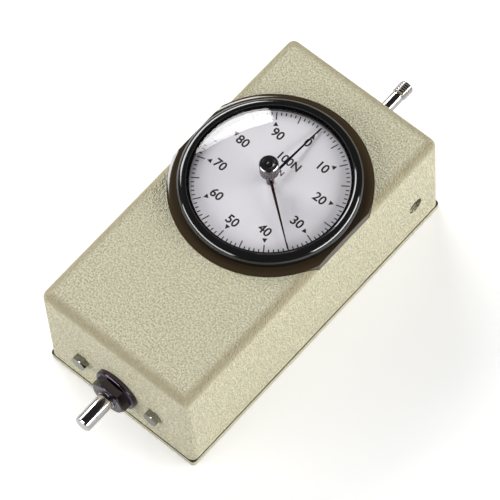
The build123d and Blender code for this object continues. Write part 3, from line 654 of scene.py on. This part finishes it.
def threaded_stud():
    """The rear stud with a cut thread in place of its plain outline."""
    axis_z = (stud_low.z + stud_high.z) / 2
    start = (stud_high.y - stud_low.y) / MM - thread_length
    spigot_end = start - neck_length

    def thread_row(along):
        def row(angle):
            phase = (along / thread_pitch - angle / (2 * math.pi)) % 1.0
            from_groove = abs(phase - 0.5) * thread_pitch
            groove = max(0.0, 1 - from_groove / groove_half_width)
            from_end = min(along, thread_length - along)
            crest = thread_radius - max(0.0, thread_chamfer - from_end)
            return min(crest, thread_radius - thread_depth * groove), start + along

        return row

    def place(x, y, height):
        return x * MM, stud_low.y + height * MM, axis_z - y * MM

    rows = [
        plain(spigot_radius, 0.0),
        plain(spigot_radius, spigot_end),
        plain(neck_radius, spigot_end),
        plain(neck_radius, start),
    ]
    steps = int(thread_length / thread_pitch * thread_steps_per_turn)
    rows += [thread_row(thread_length * k / steps) for k in range(steps + 1)]
    piece = lathe("pull_stud_thread", rows, thread_segments, palette["bright_steel"], "shaft", place)
    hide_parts("pull_stud")
    return piece


def knurled_knob():
    """The peak knob with straight knurling on its grip, and its dished cap."""
    grip = knob_base + knob_cone_height
    rim = grip + knob_grip_height
    top = rim + knob_edge
    edge_radius = knob_radius - knob_edge
    cap_radius = edge_radius - cap_inset
    cap_bottom_radius = cap_radius - cap_taper
    knurl_end = rim - knurl_top_land

    def knurled(height):
        def row(angle):
            wave = abs(math.cos(angle * knurl_count / 2))
            return knob_radius - knurl_depth * (1 - wave), height

        return row

    def place(x, y, height):
        return dial_x + x * MM, dial_y + y * MM, height * MM

    skirt = [
        plain(knob_stem_radius, knob_bottom / MM),
        plain(knob_stem_radius, knob_base),
        plain(knob_base_radius, knob_base),
        plain(knob_radius, grip - knob_edge_land),
        plain(knob_radius, grip),
        knurled(grip + knurl_run_in),
        knurled(knurl_end - knurl_run_out),
        plain(knob_radius, knurl_end),
        plain(knob_radius, rim),
        plain(edge_radius, top),
        plain(edge_radius - cap_taper, top - cap_thickness - cap_bed),
    ]
    cap = [
        plain(cap_bottom_radius, top - cap_thickness),
        plain(cap_radius, top),
        plain(dish_radius, top),
        plain(dish_radius - dish_lip, top - dish_lip_depth),
        plain(dish_floor_radius, top - dish_floor_depth),
        plain(well_radius, top - well_depth),
        plain(boss_radius, top - well_depth),
        plain(boss_radius - boss_taper, top - boss_edge_depth),
        plain(boss_top_radius, top - boss_top_depth),
    ]
    knurl_segments = knurl_count * knurl_segments_each
    knob = lathe("knurled_knob", skirt, knurl_segments, knob_metal, "peak_hand", place)
    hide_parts("peak_knob")
    lathe("knob_cap", cap, cap_segments, palette["black_knob"], "peak_hand", place)


# ---------------------------------------------------------------- the main spring
def main_spring_coil():
    """The main spring as its own copy, riding on the body in place of the CAD node."""
    coil = add_object("main_spring_coil", frame["nodes"]["main_spring"].data.copy())
    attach(coil, "body")
    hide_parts("main_spring")
    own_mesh(coil)
    return coil


# ---------------------------------------------------------------- stage, light and camera
def stage_floor():
    """A wide pale floor that keeps the object's shadow and looks a little brighter to the camera."""
    bm = bmesh.new()
    corners = [
        (-floor_reach, -floor_reach),
        (floor_reach, -floor_reach),
        (floor_reach, floor_reach),
        (-floor_reach, floor_reach),
    ]
    bm.faces.new([bm.verts.new((x, y, floor_height)) for x, y in corners])
    mesh = bpy.data.meshes.new("floor")
    bm.to_mesh(mesh)
    bm.free()
    floor = add_object("floor", mesh)
    mat, tree, shader = base_material("pale_floor", (floor_grey, floor_grey, floor_grey), floor_roughness)
    path = tree.nodes.new("ShaderNodeLightPath")
    lift = tree.nodes.new("ShaderNodeEmission")
    lift.inputs["Strength"].default_value = floor_lift
    total = tree.nodes.new("ShaderNodeAddShader")
    mix = tree.nodes.new("ShaderNodeMixShader")
    tree.links.new(shader.outputs["BSDF"], total.inputs[0])
    tree.links.new(lift.outputs["Emission"], total.inputs[1])
    tree.links.new(path.outputs["Is Camera Ray"], mix.inputs["Fac"])
    tree.links.new(shader.outputs["BSDF"], mix.inputs[1])
    tree.links.new(total.outputs["Shader"], mix.inputs[2])
    tree.links.new(mix.outputs["Shader"], tree.nodes["Material Output"].inputs["Surface"])
    mesh.materials.append(mat)
    return floor


def toward(azimuth, elevation):
    """The direction to a point of the sky, its azimuth from the front towards the right side."""
    a = math.radians(azimuth)
    e = math.radians(elevation)
    return Vector((math.sin(a) * math.cos(e), -math.cos(a) * math.cos(e), math.sin(e)))


def stand(right, up, back, place):
    """The matrix of a light or camera that looks away from its back, at a place in metres."""
    return Matrix.Translation(place) @ Matrix((right, up, back)).transposed().to_4x4()


def area_light(name, azimuth, elevation, distance, size, power):
    """A soft light over one side of the object, its long side level."""
    back = toward(azimuth, elevation).normalized()
    right = Vector((0, 0, 1)).cross(back).normalized()
    data = bpy.data.lights.new(name, "AREA")
    data.shape = "RECTANGLE"
    data.size, data.size_y = size
    data.energy = power
    light = add_object(name, data)
    light.matrix_world = stand(right, back.cross(right), back, back * distance)
    return light


def world_light():
    """A faint even light from all round."""
    world = bpy.data.worlds.new("studio")
    bpy.context.scene.world = world
    world.use_nodes = True
    background = world.node_tree.nodes["Background"]
    background.inputs["Color"].default_value = (1, 1, 1, 1)
    background.inputs["Strength"].default_value = world_strength


def camera():
    """A long lens over the front right corner, turned a little about its own axis."""
    a = math.radians(camera_azimuth)
    r = math.radians(camera_roll)
    back = toward(camera_azimuth, camera_elevation)
    level_right = Vector((math.cos(a), math.sin(a), 0))
    level_up = back.cross(level_right)
    right = level_right * math.cos(r) - level_up * math.sin(r)
    up = level_right * math.sin(r) + level_up * math.cos(r)
    data = bpy.data.cameras.new("camera")
    data.lens = camera_lens
    data.sensor_width = camera_sensor
    cam = add_object("camera", data)
    cam.matrix_world = stand(right, up, back, Vector(camera_target) * MM + back * camera_distance * MM)
    bpy.context.scene.camera = cam


dress_nodes()
dial_printing()
threaded_stud()
knurled_knob()
dial_eyelet()
main_spring_coil()
stage_floor()
for name, setting in lights.items():
    area_light(name, **setting)
world_light()
camera()
bpy.context.scene.view_settings.view_transform = "Standard"
